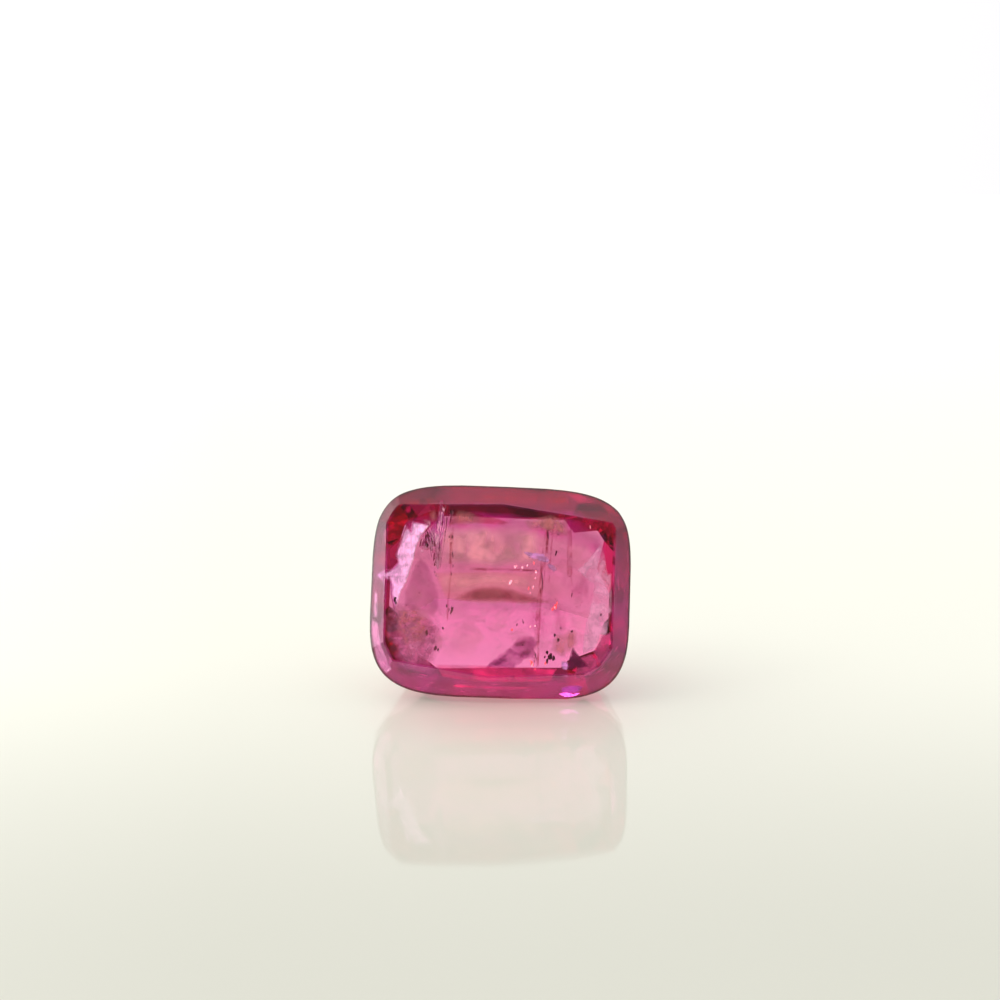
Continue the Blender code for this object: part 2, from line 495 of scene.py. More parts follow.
def faded(tree, amount):
    """The amount, falling softly to nothing at a sheet's rim."""
    core = tree.nodes.new("ShaderNodeAttribute")
    core.attribute_name = "core"
    soft = math_node(tree, "SMOOTH_MIN", core.outputs["Fac"], 1.0, 0.3)
    return math_node(tree, "MULTIPLY", amount, soft, clamp=True)


def pale_material(name, tint, cover, grain, size=3.0, glow=0.3, detail=6.0, shade=0.6):
    """A fracture full of air: it scatters light in streaks and is clear between them.

    Cover is the least and the most light that it stops, grain stretches its streaks, size
    sets how fine they are, glow is painted light, a glow in its own colour that stands in for
    the light it scatters, and shade is how dark its darker mottles are."""
    material, tree, output = new_material(name)
    streaks = noise_node(tree, stone_millimetres(tree, grain), size, detail, 0.7, 0.4)
    mottle = noise_node(tree, stone_millimetres(tree), size * 1.7, detail * 0.6, 0.6)
    least, most = cover
    seen = faded(tree, ramp_node(tree, streaks, ((0.36, (least,) * 3), (0.62, (most,) * 3))))
    darker = tuple(channel * shade for channel in tint)
    colour = ramp_node(tree, mottle, ((0.38, darker), (0.60, tint)))
    front = shader_node(
        tree,
        "ShaderNodeBsdfPrincipled",
        Base_Color=colour,
        Metallic=0.6,
        Roughness=math_node(tree, "MULTIPLY_ADD", mottle, 0.4, 0.2),
        Normal=bump_node(tree, streaks, 0.05 * MM, 0.6),
        Emission_Color=colour,
        Emission_Strength=glow,
    )
    through = shader_node(tree, "ShaderNodeBsdfTranslucent", Color=colour)
    body = mix_shaders(tree, front, through, 0.3)
    clear = shader_node(tree, "ShaderNodeBsdfTransparent")
    show(tree, output, mix_shaders(tree, clear, body, seen))
    return material


def veil_material(name, tint, reach, grain, size=2.0):
    """A stain in the crystal: clear, with a tint that comes and goes in clouds.

    Reach is the least and the most of the tint, and grain stretches the clouds."""
    material, tree, output = new_material(name)
    clouds = noise_node(tree, stone_millimetres(tree, grain), size, 5.0, 0.6, 0.3)
    least, most = reach
    amount = faded(tree, ramp_node(tree, clouds, ((0.36, (least,) * 3), (0.64, (most,) * 3))))
    colour = mix_colours(tree, "MIX", (1.0, 1.0, 1.0, 1.0), (*tint, 1.0), amount)
    show(tree, output, shader_node(tree, "ShaderNodeBsdfTransparent", Color=colour))
    return material


def guest_material(name, dark, light, cover):
    """Small guest crystals: dark, lighter in grains, and a little clear."""
    material, tree, output = new_material(name)
    grain = noise_node(tree, stone_millimetres(tree), 9.0, 3.0)
    shader = shader_node(
        tree,
        "ShaderNodeBsdfPrincipled",
        Base_Color=ramp_node(tree, grain, ((0.40, dark), (0.62, light))),
        Roughness=math_node(tree, "MULTIPLY_ADD", grain, 0.4, 0.15),
    )
    clear = shader_node(tree, "ShaderNodeBsdfTransparent", Color=(0.9, 0.55, 0.62, 1.0))
    seen = ramp_node(tree, grain, ((0.35, (cover * 0.7,) * 3), (0.60, (cover,) * 3)))
    show(tree, output, mix_shaders(tree, clear, shader, seen))
    return material


def glint_material(name, colour, strength):
    """A tiny fracture whose flash is a painted glint: it glows in its own colour, brighter in grains."""
    material, tree, output = new_material(name)
    grain = noise_node(tree, stone_millimetres(tree), 14.0, 2.0)
    hot = tuple(min(1.0, channel * 1.6 + 0.12) for channel in colour)
    shader = shader_node(
        tree,
        "ShaderNodeBsdfPrincipled",
        Base_Color=ramp_node(tree, grain, ((0.4, colour), (0.65, hot))),
        Roughness=math_node(tree, "MULTIPLY_ADD", grain, 0.3, 0.05),
        Emission_Color=ramp_node(tree, grain, ((0.42, colour), (0.60, hot))),
        Emission_Strength=strength,
    )
    show(tree, output, shader)
    return material


def leaning(azimuth, slope, first_depth, corners):
    """Corners (along, across) in the plane of an open fracture, with their depths, in steps."""
    lean = Vector((math.cos(math.radians(azimuth)), math.sin(math.radians(azimuth))))
    lean *= math.tan(math.radians(slope))
    start = Vector(corners[0])
    return [(x, y, first_depth + (Vector((x, y)) - start) @ lean) for x, y in corners]


# Each outline's corners are (along, across, below the table), in steps in the stone's own
# frame. The first two follow the solid's open fractures.
BRIGHT_SHARDS = (
    leaning(
        180.0, 15.0, 40,
        (
            (-230, 198), (-280, 206), (-286, 176), (-302, 197), (-320, 134), (-330, 102),
            (-322, 80), (-340, 58), (-370, 44), (-370, 36), (-342, 20), (-338, -22), (-325, -70),
            (-311, -18), (-295, 16), (-286, 47), (-272, 96), (-268, 125), (-254, 162),
        ),
    ),
)
LONG_FEATHER = (
    leaning(
        -90.0, 29.0, 13,
        (
            (-193, 262), (-204, 210), (-224, 184), (-246, 146), (-254, 128), (-234, 120),
            (-218, 134), (-212, 102), (-197, 70), (-187, 140), (-180, 210),
        ),
    ),
)
RIGHT_SHARD = (
    (
        (308, 170, 30), (326, 68, 26), (338, 68, 24), (342, -46, 24), (312, -162, 30),
        (254, -184, 44), (270, -60, 40), (284, 30, 36), (230, 74, 50), (276, 124, 38),
    ),
)
BRIGHT_STREAKS = (
    ((-193, 256, 13), (-187, 255, 13), (-188, 212, 36), (-192, 216, 34)),
    ((-170, 245, 16), (-165, 246, 16), (-164, 226, 26), (-168, 222, 28)),
    ((-224, 176, 50), (-218, 174, 50), (-220, 152, 62), (-217, 138, 68), (-223, 140, 66)),
    ((-212, 178, 50), (-204, 174, 52), (-202, 130, 70), (-206, 100, 84), (-210, 136, 68)),
    ((-204, 102, 90), (-198, 98, 92), (-198, 62, 104), (-204, 70, 100)),
    ((-260, 120, 46), (-234, 126, 50), (-230, 116, 52), (-250, 112, 50)),
    ((-198, 216, 30), (-192, 214, 32), (-224, 162, 44), (-234, 160, 42)),
)
SPLINTERS = (
    ((-253, 224, 34), (-220, 199, 26), (-232, 192, 30)),
    ((-166, 247, 18), (-156, 244, 20), (-160, 214, 40), (-170, 222, 34)),
    ((-230, 116, 70), (-214, 96, 80), (-206, 56, 104), (-196, 36, 124), (-216, 58, 95)),
    ((-382, -16, 32), (-374, -20, 26), (-372, -90, 30), (-378, -124, 44)),
)
FEATHER_BED = (
    (
        (-196, 256, 10), (-170, 256, 10), (-162, 210, 26), (-186, 170, 38), (-194, 90, 66),
        (-210, 74, 70), (-220, 120, 54), (-266, 134, 44), (-244, 174, 36), (-210, 202, 30),
    ),
)
FEATHER_SHADOWS = (
    ((-260, 136, 48), (-240, 160, 46), (-234, 144, 52), (-246, 122, 52)),
    ((-244, 162, 44), (-228, 178, 42), (-224, 166, 46), (-236, 150, 48)),
    ((-357, 34, 52), (-336, 42, 50), (-336, 24, 50), (-350, 18, 52)),
    ((-298, 30, 40), (-284, 34, 42), (-296, -10, 44), (-306, -14, 42)),
)
LAVENDER_WISPS = (
    ((38, 134, 52), (108, 127, 56), (142, 115, 58), (146, 95, 60), (124, 98, 60), (80, 110, 56)),
    ((124, 98, 60), (146, 97, 60), (176, 72, 66), (162, 66, 66)),
    ((192, -198, 62), (218, -206, 66), (210, -234, 70), (188, -230, 66)),
)
PEACH_PATCHES = (
    ((-240, 244, 20), (-210, 248, 18), (-204, 210, 32), (-230, 206, 34)),
    (
        (-146, 250, 16), (-86, 238, 20), (-34, 214, 30), (-90, 206, 34), (-174, 195, 40),
        (-156, 230, 26),
    ),
    (
        (56, 220, 24), (146, 246, 16), (198, 232, 22), (204, 178, 40), (166, 174, 42),
        (136, 188, 38), (78, 196, 34),
    ),
    ((170, -120, 80), (236, -102, 82), (244, -150, 86), (200, -194, 90), (156, -170, 88)),
)
SMOKY_VEIL = (
    (
        (-257, 100, 80), (-237, 86, 86), (-212, 32, 100), (-193, -8, 110), (-190, -47, 110),
        (-206, -80, 104), (-256, -74, 92), (-300, -60, 80), (-302, -8, 76), (-282, 44, 76),
    ),
)
MOTTLED_CLOUD = (
    (
        (-346, -50, 44), (-260, -50, 70), (-200, -70, 90), (-180, -122, 96), (-202, -174, 90),
        (-210, -240, 80), (-292, -240, 50), (-334, -206, 40), (-350, -140, 40),
    ),
    (
        (-320, -80, 120), (-230, -70, 140), (-170, -140, 150), (-200, -230, 140),
        (-290, -220, 100), (-330, -160, 100),
    ),
)
PEACH_WEDGE = (
    ((-156, 248, 30), (-93, 244, 30), (40, 212, 34), (-120, 208, 40), (-180, 196, 42)),
)
PEACH_CLOUD = (
    (
        (-330, -50, 40), (-280, -44, 50), (-220, -70, 60), (-200, -120, 66), (-230, -166, 60),
        (-290, -180, 50), (-330, -130, 40),
    ),
)
DARK_VEIL = (
    (
        (-48, -244, 70), (-16, -204, 80), (2, -188, 84), (34, -166, 90), (56, -136, 96),
        (102, -128, 100), (118, -152, 100), (110, -202, 94), (78, -204, 90), (24, -240, 80),
    ),
    ((-44, -242, 60), (-12, -204, 66), (24, -186, 66), (30, -210, 66), (6, -226, 60)),
    ((30, -166, 60), (70, -142, 60), (100, -150, 62), (56, -170, 62)),
    ((48, -186, 60), (86, -166, 60), (106, -180, 62), (70, -200, 62)),
)
DARK_TRIANGLE = (
    ((224, -160, 30), (279, -220, 26), (206, -234, 30)),
)
CRIMSON_PLATE = (
    ((286, -174, 36), (310, -124, 30), (340, -110, 24), (338, -184, 24), (304, -214, 28)),
    ((244, -192, 44), (286, -180, 38), (306, -212, 30), (280, -242, 30), (230, -246, 34)),
)
ROSE_CLOUDS = (
    (
        (60, -20, 110), (140, 0, 114), (220, -40, 114), (210, -110, 114), (140, -140, 110),
        (80, -106, 106),
    ),
    ((180, 60, 90), (260, 90, 90), (320, 40, 80), (290, -30, 84), (210, -20, 90)),
)
GROWTH_PLANES = (
    ((142, 230, 16), (130, 220, 160), (116, 0, 220), (104, -210, 160), (116, -230, 16)),
    ((156, 230, 16), (150, 220, 100), (142, 40, 120), (146, 30, 30)),
    ((-150, 230, 16), (-160, 220, 160), (-170, 20, 200), (-168, -90, 120), (-158, -100, 20)),
    ((210, 220, 20), (198, 210, 120), (206, 60, 160), (216, 20, 30)),
)
# Where the growth planes darken what lies behind them, and the edge of the warm band
GROWTH_SHADES = (
    ((130, 230, 40), (143, 230, 40), (141, 124, 40), (131, 124, 40)),
    ((115, 97, 42), (125, 97, 42), (124, -230, 42), (114, -230, 42)),
    ((-166, 180, 46), (-156, 180, 46), (-158, 40, 46), (-166, 40, 46)),
    ((-212, 67, 44), (-50, 73, 44), (116, 73, 44), (116, 64, 44), (-50, 62, 44), (-212, 63, 44)),
)
PEACH_BAND = (
    (
        (-216, 62, 200), (0, 72, 200), (124, 74, 200), (130, -24, 200), (20, -30, 200),
        (-90, -30, 200), (-176, -18, 200),
    ),
)
# Painted shade deep under the table, in a crescent
BROWN_CRESCENT = (
    (
        (-162, -27, 160), (-110, 4, 160), (-62, 21, 160), (-2, 22, 160), (56, 12, 160),
        (106, -2, 160), (150, -16, 160), (150, -27, 160), (0, -27, 160),
    ),
)
WARM_SILK = (
    (
        (-190, 200, 70), (-40, 206, 70), (110, 198, 70), (126, 90, 80), (-20, 72, 80),
        (-200, 74, 80),
    ),
    (
        (-210, 58, 90), (-30, 66, 90), (110, 60, 90), (100, 12, 94), (-40, 16, 94),
        (-130, -10, 94), (-180, -10, 94),
    ),
)
CRIMSON_HAZE = (
    (
        (-320, 130, 96), (-310, 210, 96), (-230, 240, 96), (20, 250, 96), (240, 240, 96),
        (320, 190, 96), (320, 90, 96), (260, 140, 96), (40, 190, 96), (-180, 180, 96),
    ),
)
# A wide faint veil that fills most of the stone under its table
SILK_LAYER = (
    (
        (-300, 220, 55), (20, 230, 55), (290, 210, 55), (320, 20, 55), (300, -180, 55),
        (20, -230, 55), (-280, -220, 55), (-320, 0, 55),
    ),
)


# How many slivers break up a square metre of the feather, and their smallest and largest
# sizes across its slope, along it and through it
SLIVERS_PER_AREA = 46e6
SLIVER_SIZES = (
    (0.008 * MM, 0.050 * MM, 0.004 * MM),
    (0.045 * MM, 0.420 * MM, 0.012 * MM),
)


class RUBY_OT_fractures(bpy.types.Operator):
    """Makes the pale fractures: the bright shards, the long feather, wisps and patches"""

    bl_idname = "ruby.fractures"
    bl_label = "Fractures"

    def execute(self, context):
        settings = context.scene.inclusion_settings
        most = settings.feather_strength
        shard = pale_material(
            "shard_air", (1.0, 0.88, 0.91), (0.6, 1.0), (3.6, 0.8, 1.0), 2.2, 1.0, 8.0, 0.6
        )
        add_sheets("bright_shards", BRIGHT_SHARDS, shard, 0.05, 0.01, 0.02, 3)
        feather = pale_material("feather_air", (1.0, 0.70, 0.80), (0.0, most), (5.0, 0.7, 1.0), 1.6)
        add_sheets("long_feather", LONG_FEATHER, feather, 0.05, 0.01, 0.05, 4)
        add_sheets("splinters", SPLINTERS, feather, 0.18, 0.05, 0.05, 14)
        streak = pale_material("streak_air", (1.0, 0.66, 0.78), (0.5, 1.0), (4.0, 1.0, 1.0), 2.0, 0.6)
        add_sheets("bright_streaks", BRIGHT_STREAKS, streak, 0.14, 0.02, 0.03, 19)
        self.scatter_slivers(settings.seed)
        rose = pale_material(
            "rose_air", (1.0, 0.60, 0.78), (0.1, most * 0.75), (1.0, 0.7, 1.0), 1.4, 0.58, shade=0.72
        )
        add_sheets("right_shard", RIGHT_SHARD, rose, 0.05, 0.03, 0.05, 17)
        wisp = pale_material("wisp_air", (0.92, 0.56, 0.95), (0.55, 1.0), (0.8, 2.4, 1.0), 2.2, 0.6)
        add_sheets("lavender_wisps", LAVENDER_WISPS, wisp, 0.12, 0.05, 0.03, 5)
        peach = pale_material(
            "peach_air", (1.0, 0.52, 0.42), (0.3, most * 0.8), (2.0, 0.6, 1.0), 1.4, 0.25
        )
        add_sheets("peach_patches", PEACH_PATCHES, peach, 0.10, 0.05, 0.2, 6)
        return {"FINISHED"}

    def scatter_slivers(self, seed):
        """Breaks the long feather up into dark and bright slivers that run up its slope."""
        dark = guest_material("sliver_dark", (0.20, 0.01, 0.05), (0.42, 0.05, 0.12), 0.75)
        pale = pale_material("sliver_pale", (1.0, 0.62, 0.76), (0.6, 1.0), (1.0, 1.0, 1.0), 2.0, 0.7)
        for name, material, turn in (("dark_slivers", dark, 0), ("pale_slivers", pale, 1)):
            chance = random.Random(seed + turn)
            bed = add_maker(name, sheet_mesh(name, FEATHER_BED, 0.06, 0.05, 0.1, chance))
            scatter(bed, material, SLIVERS_PER_AREA, *SLIVER_SIZES, seed + turn)
            add_piece(name, settled(bed, name), material)


# Crown facets face out of the table by a share between these, and the hairs lie this far
# under them, so many to a square metre
HAIRS_PER_AREA = 16e6
SHORTEST_HAIR = 0.25
HAIR_WIDTHS = (0.008 * MM, 0.035 * MM)
HAIR_THICKNESSES = (0.004 * MM, 0.010 * MM)
CROWN_SLOPES = (0.6, 0.95)
RIM_DEPTH = 0.10 * MM
# The ground girdle's skin stands square to the table
GIRDLE_SLOPES = (-0.1, 0.1)
GIRDLE_DEPTH = 0.06 * MM

# The milkiness is this strong half way up the crown, and grows by this much toward its lower side and falls
# by as much toward its upper side; the rim glows, so this is painted light that makes the crown's lower
# side lighter than its upper side
HALF_WIDTH = 3.28 * MM
RIM_MIDDLE = 0.62
RIM_CHANGE = 0.58

# Painted light in the crown's lower side, just under its surface: sheets that glow pink and violet, a
# painted violet glint, and a painted pale sheen at the left
CROWN_PAINTED_GLOW = (
    (
        (-196, -228, 14), (-100, -226, 13), (80, -226, 13), (180, -228, 14), (160, -268, 20),
        (30, -274, 20), (-120, -273, 20), (-170, -267, 20),
    ),
    ((-160, -284, 32), (-20, -282, 30), (120, -284, 32), (60, -296, 40), (-130, -296, 40)),
)
VIOLET_FIELD = (
    (
        (190, -282, 32), (226, -274, 30), (262, -272, 34), (258, -288, 44), (244, -298, 48),
        (196, -302, 46),
    ),
)
VIOLET_GLINT = (
    (
        (188, -303, 46), (210, -299, 43), (232, -303, 47), (252, -297, 46), (234, -308, 51),
        (206, -312, 52),
    ),
)
LEFT_SHEEN = (
    ((-386, -12, 42), (-376, -14, 34), (-372, -90, 34), (-380, -122, 44)),
    (
        (-390, -96, 50), (-370, -106, 36), (-346, -190, 32), (-314, -250, 36), (-336, -266, 50),
        (-374, -210, 50),
    ),
)


def skin_mesh(name, flattest, steepest, reach):
    """The stone's faces between two slopes, as shares of facing out of the table, moved inward."""
    build = bmesh.new()
    build.from_mesh(frame["nodes"][STONE].data)
    bmesh.ops.remove_doubles(build, verts=build.verts, dist=0.001 * MM)
    faces = build.faces
    away = [face for face in faces if not steepest < face.normal.dot(TABLE_NORMAL) < flattest]
    bmesh.ops.delete(build, geom=away, context="FACES")
    build.normal_update()
    inward = {vert: vert.normal.copy() for vert in build.verts}
    for vert, normal in inward.items():
        vert.co -= normal * reach
    core = build.verts.layers.float.new("core")
    to_stone = STONE_FRAME.inverted()
    for vert in build.verts:
        across = (to_stone @ vert.co).y / HALF_WIDTH
        vert[core] = RIM_MIDDLE - RIM_CHANGE * across
    mesh = bpy.data.meshes.new(name)
    build.to_mesh(mesh)
    build.free()
    return mesh


def crown_mesh(name):
    """The crown's facets, moved inward."""
    return skin_mesh(name, CROWN_SLOPES[1], CROWN_SLOPES[0], RIM_DEPTH)


class RUBY_OT_rim(bpy.types.Operator):
    """Makes the milky rim, the hairs that cutting leaves in it, and the painted lights under the crown"""

    bl_idname = "ruby.rim"
    bl_label = "Bearded rim"

    def execute(self, context):
        settings = context.scene.inclusion_settings
        milk = pale_material(
            "rim_milk", (0.90, 0.10, 0.54), (0.18, 0.36), (0.5, 0.9, 0.9), 0.7, 0.26, 2.0
        )
        thicken(add_piece("milky_rim", crown_mesh("milky_rim"), milk))
        hairs = pale_material("rim_hairs", (1.0, 0.24, 0.50), (0.0, 0.7), (1.0, 1.0, 1.0), 1.4, 0.35)
        surface = add_maker("hair_bed", crown_mesh("hair_bed"))
        length = settings.hair_length
        smallest = (SHORTEST_HAIR * length, HAIR_WIDTHS[0], HAIR_THICKNESSES[0])
        largest = (length, HAIR_WIDTHS[1], HAIR_THICKNESSES[1])
        scatter(surface, hairs, HAIRS_PER_AREA, smallest, largest, settings.seed)
        add_piece("rim_hairs", settled(surface, "rim_hairs"), hairs)
        ground = veil_material("girdle_stain", (0.50, 0.34, 0.44), (0.8, 1.0), (1.0, 1.0, 1.0), 1.5)
        skin = skin_mesh("girdle_skin", GIRDLE_SLOPES[1], GIRDLE_SLOPES[0], GIRDLE_DEPTH)
        for point in skin.attributes["core"].data:
            point.value = 1.0
        thicken(add_piece("girdle_skin", skin, ground))
        # Painted light: glowing sheets under the crown's lower side, with a painted glint and a painted
        # sheen
        painted_pink_light = pale_material(
            "crown_pink", (0.97, 0.05, 0.26), (0.30, 0.85), (0.4, 1.2, 1.0), 0.9, 0.7, 2.0
        )
        add_sheets("crown_painted_glow", CROWN_PAINTED_GLOW, painted_pink_light, 0.01, 0.01, 0.07, 26)
        violet = pale_material(
            "crown_violet", (0.66, 0.06, 0.56), (0.6, 1.0), (0.7, 1.6, 1.0), 1.6, 0.5
        )
        add_sheets("violet_field", VIOLET_FIELD, violet, 0.05, 0.01, 0.08, 27)
        flash = glint_material("glint_violet", (1.0, 0.12, 0.58), 1.2)
        add_sheets("violet_glint", VIOLET_GLINT, flash, 0.08, 0.01, 0.02, 28)
        sheen = pale_material("left_painted_sheen", (1.0, 0.66, 0.76), (0.6, 1.0), (3.0, 1.0, 1.0), 1.6, 0.85)
        add_sheets("left_sheen", LEFT_SHEEN, sheen, 0.06, 0.01, 0.05, 29)
        return {"FINISHED"}


# Each row makes a piece: its kind of material, its name, its outlines, its material's name
# and what that material takes after it, and then the sheet's jag, ripple, fade and seed
VEIL_ROWS = (
    (veil_material, "smoky_veil", SMOKY_VEIL, "smoky_stain",
        ((0.81, 0.71, 0.78), (0.6, 1.0), (1.0, 0.6, 1.0), 0.9), (0.06, 0.05, 0.08, 7)),
    (pale_material, "mottled_cloud", MOTTLED_CLOUD, "cloud_air",
        ((0.97, 0.38, 0.64), (0.15, 0.75), (1.0, 1.0, 1.0), 2.0, 0.36), (0.12, 0.10, 0.3, 8)),
    (pale_material, "peach_cloud", PEACH_CLOUD, "cloud_peach",
        ((1.0, 0.46, 0.42), (0.0, 0.6), (1.0, 1.4, 1.0), 2.8, 0.3), (0.12, 0.08, 0.3, 24)),
    (veil_material, "dark_veil", DARK_VEIL, "dark_stain",
        ((0.66, 0.42, 0.60), (0.5, 1.0), (1.0, 1.6, 1.0), 2.6), (0.14, 0.05, 0.05, 9)),
    (pale_material, "dark_triangle", DARK_TRIANGLE, "triangle_air",
        ((0.26, 0.01, 0.10), (0.80, 1.0), (1.0, 2.0, 1.0), 1.6, 0.5), (0.03, 0.01, 0.02, 20)),
    # crimson_plate is painted shade: a dark crimson sheet that dims the stone there, with a crimson glow of
    # its own
    (pale_material, "crimson_plate", CRIMSON_PLATE, "crimson_air",
        ((0.70, 0.11, 0.30), (0.6, 0.9), (1.0, 2.0, 1.0), 1.6, 0.5), (0.05, 0.01, 0.03, 23)),
    (veil_material, "peach_wedge", PEACH_WEDGE, "wedge_stain",
        ((0.84, 0.72, 0.62), (0.6, 1.0), (1.0, 1.0, 1.0), 1.2), (0.05, 0.01, 0.03, 30)),
    (veil_material, "rose_clouds", ROSE_CLOUDS, "rose_stain",
        ((0.84, 0.68, 0.78), (0.0, 1.0), (1.4, 0.7, 1.0), 1.6), (0.12, 0.08, 0.35, 18)),
    (veil_material, "feather_shadows", FEATHER_SHADOWS, "shadow_stain",
        ((0.50, 0.24, 0.34), (0.4, 1.0), (5.0, 1.0, 1.0), 1.8), (0.20, 0.04, 0.05, 10)),
    (pale_material, "silk_layer", SILK_LAYER, "silk_haze",
        ((1.0, 0.56, 0.52), (0.04, 0.20), (1.0, 1.4, 1.0), 0.9, 0.3, 3.0), (0.06, 0.12, 0.6, 15)),
    (pale_material, "warm_silk", WARM_SILK, "warm_silk",
        ((1.0, 0.64, 0.58), (0.16, 0.54), (0.9, 0.6, 1.0), 0.9, 0.75, 3.0), (0.04, 0.06, 0.3, 22)),
    (pale_material, "crimson_haze", CRIMSON_HAZE, "crimson_haze",
        ((0.98, 0.02, 0.52), (0.24, 0.44), (1.0, 1.0, 1.0), 0.8, 0.5, 2.0), (0.05, 0.05, 0.3, 25)),
    (veil_material, "peach_band", PEACH_BAND, "peach_stain",
        ((0.98, 1.0, 0.88), (0.7, 1.0), (0.6, 1.0, 1.0), 0.8), (0.02, 0.03, 0.06, 12)),
    # brown_crescent is painted shade: a brown tint deep under the table that darkens what the window shows
    # there
    (veil_material, "brown_crescent", BROWN_CRESCENT, "brown_stain",
        ((0.56, 0.30, 0.32), (0.6, 1.0), (0.9, 1.0, 1.0), 0.9), (0.03, 0.02, 0.16, 13)),
)


class RUBY_OT_veils(bpy.types.Operator):
    """Makes the veils: the smoky one, the mottled cloud, dark veils, warm silk and shadows, and the painted
    shade of the crimson plate and the brown crescent
    """

    bl_idname = "ruby.veils"
    bl_label = "Veils"

    def execute(self, context):
        for make, name, outlines, material_name, look, edge in VEIL_ROWS:
            add_sheets(name, outlines, make(material_name, *look), *edge)
        return {"FINISHED"}


# Where the healed fractures lie whose droplets show, and how many lie in a square metre
HEALED_VEILS = (
    (
        (-330, -60, 34), (-250, -40, 44), (-190, -90, 60), (-180, -190, 60), (-240, -230, 44),
        (-320, -200, 34),
    ),
    ((10, -194, 50), (60, -134, 56), (120, -130, 60), (110, -210, 50)),
    ((120, 40, 50), (240, 90, 50), (290, -20, 46), (190, -80, 50)),
    ((-290, 60, 44), (-230, 130, 44), (-200, 40, 56), (-260, -30, 50)),
)
DROPLETS_PER_AREA = 11e6


class RUBY_OT_droplets(bpy.types.Operator):
    """Scatters the tiny droplets of the healed fractures"""

    bl_idname = "ruby.droplets"
    bl_label = "Droplets"

    def execute(self, context):
        settings = context.scene.inclusion_settings
        chance = random.Random(settings.seed)
        bed = add_maker("droplet_bed", sheet_mesh("droplet_bed", HEALED_VEILS, 0.1, 0.1, 0.1, chance))
        wet = guest_material("droplet_red", (0.30, 0.05, 0.12), (0.70, 0.22, 0.34), 0.7)
        widest = settings.droplet_size
        smallest = (0.3 * widest, 0.3 * widest, 0.1 * widest)
        largest = (1.6 * widest, widest, 0.3 * widest)
        scatter(bed, wet, DROPLETS_PER_AREA, smallest, largest, settings.seed)
        add_piece("droplets", settled(bed, "droplets"), wet)
        return {"FINISHED"}


class RUBY_OT_growth(bpy.types.Operator):
    """Makes the growth planes that stand edge on under the table"""

    bl_idname = "ruby.growth"
    bl_label = "Growth planes"

    def execute(self, context):
        stain = veil_material("growth_stain", (0.84, 0.68, 0.72), (0.0, 1.0), (1.0, 1.8, 0.8), 1.5)
        add_sheets("growth_planes", GROWTH_PLANES, stain, 0.01, 0.01, 0.1, 11)
        shade = veil_material("growth_shade", (0.64, 0.36, 0.40), (0.25, 1.0), (0.6, 0.9, 1.0), 1.5)
        add_sheets("growth_shades", GROWTH_SHADES, shade, 0.01, 0.01, 0.04, 33)
        return {"FINISHED"}


# Guest crystals: (along, across, below the table, length, width) in steps
DARK_CRYSTALS = (
    (-325, -34, 30, 17, 9),
    (-322, -46, 33, 9, 6),
    (-167, 165, 50, 10, 3),
    (-157, 166, 52, 13, 3),
    (-154, 110, 60, 26, 3.5),
    (-152, 76, 62, 10, 3),
    (-156, 50, 64, 12, 2.5),
    (-166, -48, 60, 9, 5),
    (-159, -60, 62, 14, 3),
    (-150, -60, 60, 26, 8),
    (-175, -118, 60, 9, 6),
    (-225, -133, 70, 16, 8),
    (-196, -178, 60, 16, 7),
    (-188, -184, 62, 10, 6),
    (-234, 136, 52, 14, 8),
    (-220, 124, 60, 10, 5),
    (138, 184, 50, 40, 3),
    (125, 36, 60, 62, 3),
    (112, -192, 60, 32, 3),
    (308, -60, 30, 10, 5),
    (52, -98, 60, 9, 4),
    (70, -88, 60, 14, 3),
    (169, -127, 50, 9, 8),
    (180, -141, 50, 12, 7),
    (186, -104, 50, 7, 4),
    (221, -113, 50, 10, 5),
    (165, 127, 50, 22, 5),
    (169, 184, 40, 6, 5),
    (147, -180, 50, 12, 9),
    (156, -193, 50, 20, 12),
    (167, -198, 50, 18, 9),
    (148, -206, 50, 16, 6),
    (140, -195, 52, 8, 5),
    (77, -242, 36, 26, 13),
    (218, 0, 80, 16, 4),
)


# The most that a guest crystal leans from the growth planes, in degrees
GUEST_LEAN = 16


def add_guests(name, places, material, flatness, seed):
    """Small uneven crystals at places in steps, joined in one piece."""
    chance = random.Random(seed)
    build = bmesh.new()
    for place in places:
        x, y, depth, length, width = (value / STEPS for value in place)
        made = bmesh.ops.create_icosphere(build, subdivisions=2, radius=0.5)
        rough = Vector([chance.uniform(0.0, 50.0) for axis in range(3)])
        for vert in made["verts"]:
            vert.co *= 0.9 + 0.9 * noise.noise(vert.co * 2.8 + rough)
        size = Matrix.Diagonal((width * MM, length * MM, width * flatness * MM, 1.0))
        lean = Matrix.Rotation(math.radians(chance.uniform(-GUEST_LEAN, GUEST_LEAN)), 4, "Z")
        turn = STONE_FRAME.to_3x3().to_4x4() @ lean
        spot = Matrix.Translation(local(x, y, depth)) @ turn @ size
        bmesh.ops.transform(build, matrix=spot, verts=made["verts"])
    bmesh.ops.recalc_face_normals(build, faces=build.faces[:])
    mesh = bpy.data.meshes.new(name)
    build.to_mesh(mesh)
    build.free()
    return add_piece(name, mesh, material)


class RUBY_OT_guests(bpy.types.Operator):
    """Makes the dark guest crystals, in rows along the growth planes and in clusters"""

    bl_idname = "ruby.guests"
    bl_label = "Guest crystals"

    def execute(self, context):
        dark = guest_material("guest_dark", (0.016, 0.003, 0.008), (0.12, 0.02, 0.05), 0.85)
        add_guests("guest_crystals", DARK_CRYSTALS, dark, 0.8, 21)
        return {"FINISHED"}


